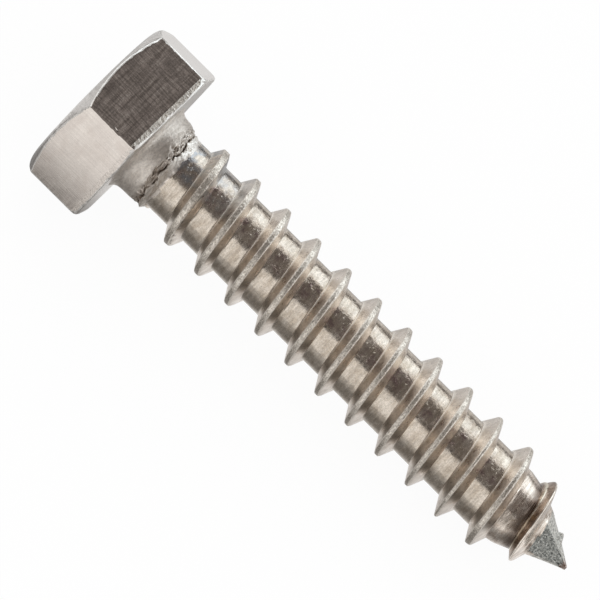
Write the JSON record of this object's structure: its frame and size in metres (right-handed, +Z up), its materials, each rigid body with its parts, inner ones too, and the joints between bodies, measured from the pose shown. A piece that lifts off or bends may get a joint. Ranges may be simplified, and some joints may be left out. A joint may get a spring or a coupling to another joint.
{
  "type": "lag screw",
  "caption": "Stainless hex lag screw lying at rest: chamfered hex head, short neck and a coarse right-hand wood thread down to a sheared point.",
  "frame": {"origin": "centre of the face under the head, on the screw's axis", "axes": "+Z up from the table. The screw lies at rest with its point towards +X, its axis dropping 4.19 degrees from level towards the point"},
  "size_m": [0.0447, 0.0144, 0.0128],
  "materials": {
    "stainless_steel": "bare stainless: satin on the head, burnished in the root of the thread, grainy on its crest and on the sheared point"
  },
  "bodies": {
    "root": {"lag_screw": "stainless_steel"}
  },
  "joints": []
}
